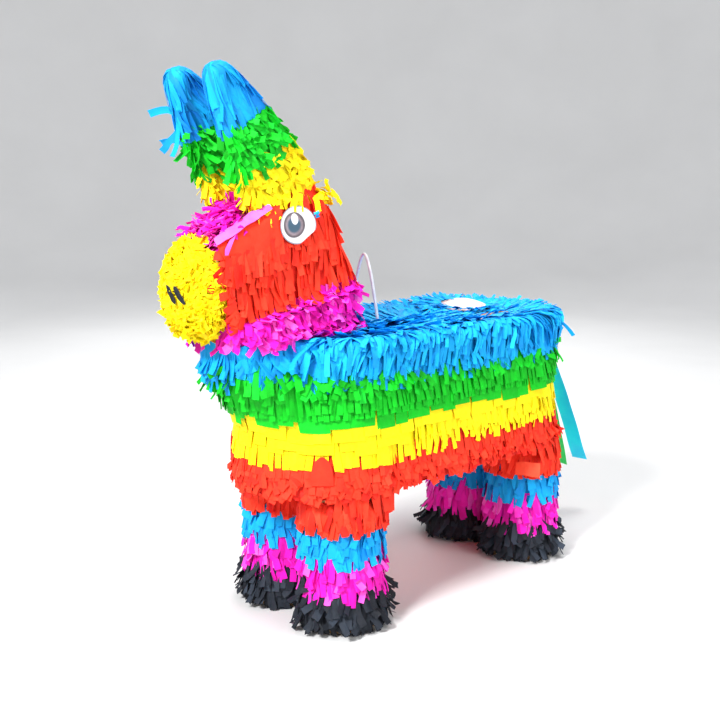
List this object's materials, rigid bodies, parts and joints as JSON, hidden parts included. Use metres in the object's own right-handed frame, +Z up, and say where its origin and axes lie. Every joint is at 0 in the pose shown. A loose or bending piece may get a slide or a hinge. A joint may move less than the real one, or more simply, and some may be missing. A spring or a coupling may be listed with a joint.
{
  "type": "donkey pinata",
  "caption": "Hollow card donkey covered in bands of fringed tissue paper, with a hanging loop, a filling flap in its back and a tail of paper streamers.",
  "frame": {"origin": "on the floor, under the middle of the whole length and width", "axes": "+Z up, -Y is the way the donkey faces, +X is the donkey's left side"},
  "size_m": [0.168, 0.586, 0.495],
  "materials": {
    "card": "matte",
    "tissue_red": "matte",
    "tissue_pink": "matte",
    "tissue_blue": "matte",
    "tissue_green": "matte",
    "tissue_yellow": "matte",
    "tissue_black": "matte",
    "ribbon_cyan": "satin",
    "ribbon_green": "satin",
    "ribbon_red": "satin",
    "label_paper": "satin",
    "eye_print": "gloss",
    "nostril_print": "matte",
    "hinge_tape": "matte",
    "loop_plastic": "satin",
    "staple_wire": "satin"
  },
  "bodies": {
    "donkey": {"belly_panel": "card", "left_wall": "card", "right_wall": "card", "back_panel": "card", "neck_wrap": "card", "left_head_panel": "card", "right_head_panel": "card", "bridge_strip": "card", "crown_strip": "card", "nape_strip": "card", "jaw_strip": "card", "nose_panel": "card", "muzzle_cap": "card", "left_ear_card": "card", "right_ear_card": "card", "front_left_leg_tube": "card", "front_right_leg_tube": "card", "rear_left_leg_tube": "card", "rear_right_leg_tube": "card", "front_left_foot_disc": "card", "front_right_foot_disc": "card", "rear_left_foot_disc": "card", "rear_right_foot_disc": "card", "loop_saddle": "card", "flap_hinge_tape": "hinge_tape", "left_eye_label": "eye_print", "right_eye_label": "eye_print", "nostril_labels": "nostril_print", "tail_staple": "staple_wire", "muzzle_yellow_fringe": "tissue_yellow", "bridge_pink_fringe": "tissue_pink", "head_red_fringe": "tissue_red", "collar_pink_fringe": "tissue_pink", "neck_blue_fringe": "tissue_blue", "back_blue_fringe": "tissue_blue", "body_green_fringe": "tissue_green", "body_yellow_fringe": "tissue_yellow", "body_red_fringe": "tissue_red", "front_left_blue_fringe": "tissue_blue", "front_right_blue_fringe": "tissue_blue", "rear_left_blue_fringe": "tissue_blue", "rear_right_blue_fringe": "tissue_blue", "front_left_pink_fringe": "tissue_pink", "front_right_pink_fringe": "tissue_pink", "rear_left_pink_fringe": "tissue_pink", "rear_right_pink_fringe": "tissue_pink", "hoof_black_fringes": "tissue_black", "leg_red_fringes": "tissue_red", "crown_yellow_fringe": "tissue_yellow", "ear_green_fringes": "tissue_green", "ear_blue_fringes": "tissue_blue"},
    "hanging_loop": {"hanging_loop": "loop_plastic"},
    "fill_flap": {"fill_flap": "card", "flap_label": "label_paper"},
    "tail": {"tail_blue_streamer": "ribbon_cyan", "tail_green_streamer": "ribbon_green", "tail_red_streamer": "ribbon_red"}
  },
  "joints": [
    {"name": "loop_swing", "type": "hinge", "parent": "donkey", "child": "hanging_loop", "pos_m": [0, -0.0719, 0.259], "axis": [-1, 0, 0], "range_deg": [-22, 45]},
    {"name": "flap_lift", "type": "hinge", "parent": "donkey", "child": "fill_flap", "pos_m": [0.038, 0.0641, 0.2669], "axis": [0, 1, 0], "range_deg": [0, 94]},
    {"name": "tail_sway", "type": "hinge", "parent": "donkey", "child": "tail", "pos_m": [0, 0.1831, 0.256], "axis": [1, 0, 0], "range_deg": [-15, 60]}
  ]
}
